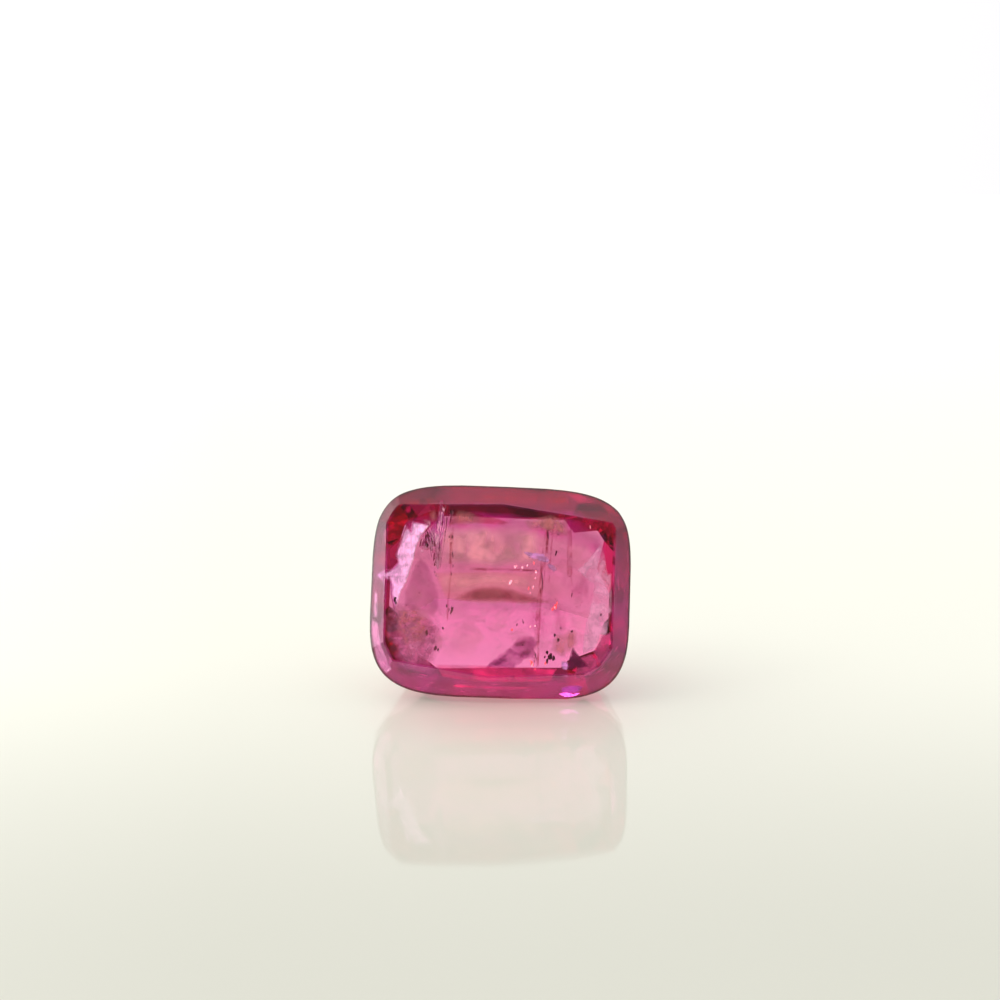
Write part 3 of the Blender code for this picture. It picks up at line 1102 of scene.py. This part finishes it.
# Glints: (along, across, below the table, length, width) in steps
RED_GLINTS = (
    (167, -39, 40, 16, 10),
    (159, -48, 42, 10, 8),
    (172, -30, 40, 12, 5),
    (101, -216, 34, 18, 9),
    (143, -214, 36, 12, 5),
    (324, -156, 30, 10, 10),
    (97, 93, 45, 10, 5),
    (84, 14, 50, 12, 5),
    (37, -114, 50, 6, 8),
    (112, -234, 30, 10, 6),
)
PALE_GLINTS = (
    (39, 79, 45, 10, 5),
    (44, 82, 45, 6, 4),
    (62, 78, 45, 7, 6),
    (77, 85, 45, 9, 4),
    (104, 66, 45, 9, 7),
    (103, 46, 48, 7, 4),
    (27, 31, 50, 14, 7),
    (97, 18, 50, 12, 4),
    (89, 1, 50, 6, 4),
    (107, -100, 50, 7, 5),
    (93, -103, 50, 6, 4),
    (102, -220, 33, 10, 4),
    (267, 210, 30, 12, 2),
    (166, -42, 38, 6, 5),
)


class RUBY_OT_glints(bpy.types.Operator):
    """Makes the painted glints of tiny fractures, red and pale, which glow of their own"""

    bl_idname = "ruby.glints"
    bl_label = "Glints"

    def execute(self, context):
        red = glint_material("glint_red", (0.95, 0.07, 0.08), 0.9)
        add_guests("red_glints", RED_GLINTS, red, 0.4, 31)
        pale = glint_material("glint_pale", (1.0, 0.42, 0.46), 1.1)
        add_guests("pale_glints", PALE_GLINTS, pale, 0.4, 32)
        return {"FINISHED"}


# The camera looks down at the stone as the photograph does. In the photograph's frame of
# 1000 pixels, the middle of the girdle shows at this pixel.
CAMERA_DROP = math.radians(12.2)
CAMERA_DISTANCE = 52.63 * MM
FOCAL_PIXELS = 1700.0
FRAME_PIXELS = 1000.0
GIRDLE_MIDDLE_PIXEL = (501.3, 592.8)
GIRDLE_MIDDLE_DEPTH = 0.6 * MM
SENSOR_MM = 36.0


def add_camera():
    data = bpy.data.cameras.new("camera")
    data.sensor_width = SENSOR_MM
    data.lens = SENSOR_MM * FOCAL_PIXELS / FRAME_PIXELS
    data.clip_start = 1 * MM
    data.clip_end = 2.0
    camera = bpy.data.objects.new("camera", data)
    forward = Vector((0.0, math.cos(CAMERA_DROP), -math.sin(CAMERA_DROP)))
    up = Vector((0.0, math.sin(CAMERA_DROP), math.cos(CAMERA_DROP)))
    right = Vector((1.0, 0.0, 0.0))
    across = (GIRDLE_MIDDLE_PIXEL[0] - FRAME_PIXELS / 2) / FOCAL_PIXELS
    rise = (FRAME_PIXELS / 2 - GIRDLE_MIDDLE_PIXEL[1]) / FOCAL_PIXELS
    target = STONE_FRAME @ Vector((0.0, 0.0, -GIRDLE_MIDDLE_DEPTH))
    turn = Matrix((right, up, -forward)).transposed().to_4x4()
    place = target - (forward + right * across + up * rise) * CAMERA_DISTANCE
    camera.matrix_world = Matrix.Translation(place) @ turn
    bpy.context.scene.collection.objects.link(camera)
    bpy.context.scene.camera = camera


# The room, as seen from the stone: each stop is how squarely a direction faces the named
# side, from 0 for away to 1 for straight at it, and the light that comes from there
LEFT_TO_RIGHT = (
    (0.00, (3.00, 2.98, 2.90)),
    (0.18, (2.10, 2.08, 2.02)),
    (0.42, (1.08, 1.07, 1.05)),
    (0.60, (1.03, 1.02, 1.02)),
    (0.72, (0.93, 0.93, 0.96)),
    (1.00, (0.86, 0.85, 0.92)),
)
FRONT_TO_BACK = (
    (0.00, (0.55, 0.55, 0.55)),
    (0.35, (0.60, 0.60, 0.60)),
    (0.62, (1.00, 1.00, 1.00)),
)
LEVEL_TO_ABOVE = (
    (0.60, (1.00, 1.00, 1.00)),
    (0.95, (0.78, 0.78, 0.80)),
)
# What faces the table from where the camera stands is dim
DIM_PATCH_DIRECTION = (0.0, -0.885, 0.466)
DIM_PATCH = (
    (0.80, (1.00, 1.00, 1.00)),
    (0.93, (0.30, 0.30, 0.30)),
    (1.00, (0.25, 0.25, 0.25)),
)


def room_light():
    """A pale room: white to the left and behind, lavender grey at the right, dimmer in front."""
    world = bpy.data.worlds.new("pale_room")
    world.use_nodes = True
    tree = world.node_tree
    tree.nodes.clear()
    output = tree.nodes.new("ShaderNodeOutputWorld")
    where = tree.nodes.new("ShaderNodeTexCoord").outputs["Generated"]
    right = math_node(tree, "MULTIPLY_ADD", dot_node(tree, where, (1.0, 0.0, 0.0)), 0.5, 0.5)
    back = math_node(tree, "MULTIPLY_ADD", dot_node(tree, where, (0.0, 1.0, 0.0)), 0.5, 0.5)
    above = math_node(tree, "MULTIPLY_ADD", dot_node(tree, where, (0.0, 0.0, 1.0)), 0.5, 0.5)
    patch = dot_node(tree, where, DIM_PATCH_DIRECTION)
    sides = ramp_node(tree, right, LEFT_TO_RIGHT, "LINEAR")
    depth = ramp_node(tree, back, FRONT_TO_BACK)
    height = ramp_node(tree, above, LEVEL_TO_ABOVE)
    dim = ramp_node(tree, patch, DIM_PATCH)
    light = mix_colours(tree, "MULTIPLY", mix_colours(tree, "MULTIPLY", sides, depth), dim)
    light = mix_colours(tree, "MULTIPLY", light, height)
    background = tree.nodes.new("ShaderNodeBackground")
    tree.links.new(light, background.inputs["Color"])
    tree.links.new(background.outputs["Background"], output.inputs["Surface"])
    bpy.context.scene.world = world


# The floor's painted glow grows from GLOW_START in front of the stone to GLOW_FULL behind it
GLOW_START = -20 * MM
GLOW_FULL = 3 * MM
GLOW_COLOUR = (1.0, 0.99, 0.86, 1.0)
FLOOR_IOR = 1.45
FLOOR_GAP = 0.02 * MM
# The pink light at the stone's foot: how strong it is, and the reach over which it fades out
FOOT_GLOW = 0.5
FOOT_GLOW_CENTRE = Vector((0.3, -3.0, 0.0)) * MM
FOOT_GLOW_REACH = Vector((5.2, 4.2, 5.0)) * MM


def floor_material(settings):
    """Glossy warm white with painted light: it glows more toward the back, and a painted pink pool of light
    lies at the stone's foot.
    """
    material, tree, output = new_material("pale_gloss")
    where = tree.nodes.new("ShaderNodeTexCoord").outputs["Object"]
    apart = tree.nodes.new("ShaderNodeSeparateXYZ")
    tree.links.new(where, apart.inputs["Vector"])
    behind = tree.nodes.new("ShaderNodeMapRange")
    behind.interpolation_type = "SMOOTHSTEP"
    put(tree, behind.inputs["Value"], apart.outputs["Y"])
    behind.inputs["From Min"].default_value = GLOW_START
    behind.inputs["From Max"].default_value = GLOW_FULL
    behind.inputs["To Min"].default_value = settings.near_painted_glow
    behind.inputs["To Max"].default_value = settings.far_painted_glow
    foot = tree.nodes.new("ShaderNodeMapping")
    foot.vector_type = "TEXTURE"
    foot.inputs["Location"].default_value = FOOT_GLOW_CENTRE
    foot.inputs["Scale"].default_value = FOOT_GLOW_REACH
    tree.links.new(where, foot.inputs["Vector"])
    reach = tree.nodes.new("ShaderNodeVectorMath")
    reach.operation = "LENGTH"
    tree.links.new(foot.outputs["Vector"], reach.inputs[0])
    # Painted light: the pink light at the stone's foot is painted into the floor's colour
    painted_pink_light = ramp_node(tree, reach.outputs["Value"], ((0.0, (FOOT_GLOW,) * 3), (1.0, (0.0,) * 3)))
    smears = noise_node(tree, where, 60.0, 4.0, 0.6)
    shader = shader_node(
        tree,
        "ShaderNodeBsdfPrincipled",
        Base_Color=mix_colours(
            tree, "MIX", (*settings.floor_colour, 1.0), (*settings.foot_colour, 1.0), painted_pink_light
        ),
        Roughness=math_node(tree, "MULTIPLY_ADD", smears, 0.05, 0.02),
        IOR=FLOOR_IOR,
        Emission_Color=GLOW_COLOUR,
        Emission_Strength=behind.outputs["Result"],
    )
    show(tree, output, shader)
    return material


def add_floor(settings):
    bpy.ops.mesh.primitive_circle_add(vertices=96, radius=settings.floor_radius, fill_type="NGON")
    floor = bpy.context.object
    floor.name = "floor"
    floor.data.transform(Matrix.Translation((0.0, 0.0, -FLOOR_GAP)))
    floor.data.materials.append(floor_material(settings))


KEY_WIDTH = 60 * MM
KEY_DISTANCE = 200 * MM
KEY_BEARING = math.radians(-165)
KEY_RISE = math.radians(36)


def add_key(settings):
    data = bpy.data.lights.new("key", "AREA")
    data.shape = "DISK"
    data.size = KEY_WIDTH
    data.energy = settings.key_watts
    key = bpy.data.objects.new("key", data)
    level = Vector((math.cos(KEY_BEARING), math.sin(KEY_BEARING), 0.0))
    toward = level * math.cos(KEY_RISE) + Vector((0.0, 0.0, math.sin(KEY_RISE)))
    key.location = toward * KEY_DISTANCE
    key.rotation_euler = toward.to_track_quat("Z", "Y").to_euler()
    bpy.context.scene.collection.objects.link(key)


# How often light turns in the stone, and how many sides of sheets it may cross on the way
LIGHT_BOUNCES = 16
SHEETS_CROSSED = 26


class RUBY_OT_stage(bpy.types.Operator):
    """Adds the camera, the pale glossy floor and the light"""

    bl_idname = "ruby.stage"
    bl_label = "Stage"

    def execute(self, context):
        settings = context.scene.stage_settings
        add_camera()
        room_light()
        add_floor(settings)
        add_key(settings)
        scene = context.scene
        scene.view_settings.view_transform = "Standard"
        scene.cycles.max_bounces = LIGHT_BOUNCES
        scene.cycles.transmission_bounces = LIGHT_BOUNCES
        scene.cycles.glossy_bounces = LIGHT_BOUNCES
        scene.cycles.transparent_max_bounces = SHEETS_CROSSED
        return {"FINISHED"}


class RUBY_PT_panel(bpy.types.Panel):
    bl_label = "Ruby"
    bl_idname = "RUBY_PT_panel"
    bl_space_type = "VIEW_3D"
    bl_region_type = "UI"
    bl_category = "Ruby"

    def draw(self, context):
        for step in OPERATORS:
            self.layout.operator(step.bl_idname)


SETTINGS = (RubySettings, InclusionSettings, StageSettings)
OPERATORS = (
    RUBY_OT_stage,
    RUBY_OT_stone,
    RUBY_OT_fractures,
    RUBY_OT_rim,
    RUBY_OT_veils,
    RUBY_OT_droplets,
    RUBY_OT_growth,
    RUBY_OT_guests,
    RUBY_OT_glints,
)


def register():
    for item in (*SETTINGS, *OPERATORS, RUBY_PT_panel):
        bpy.utils.register_class(item)
    bpy.types.Scene.ruby_settings = bpy.props.PointerProperty(type=RubySettings)
    bpy.types.Scene.inclusion_settings = bpy.props.PointerProperty(type=InclusionSettings)
    bpy.types.Scene.stage_settings = bpy.props.PointerProperty(type=StageSettings)


def unregister():
    del bpy.types.Scene.stage_settings
    del bpy.types.Scene.inclusion_settings
    del bpy.types.Scene.ruby_settings
    for item in reversed((*SETTINGS, *OPERATORS, RUBY_PT_panel)):
        bpy.utils.unregister_class(item)


def main():
    register()
    bpy.ops.ruby.stage()
    bpy.ops.ruby.stone()
    bpy.ops.ruby.fractures()
    bpy.ops.ruby.rim()
    bpy.ops.ruby.veils()
    bpy.ops.ruby.droplets()
    bpy.ops.ruby.growth()
    bpy.ops.ruby.guests()
    bpy.ops.ruby.glints()


if __name__ == "__main__":
    main()
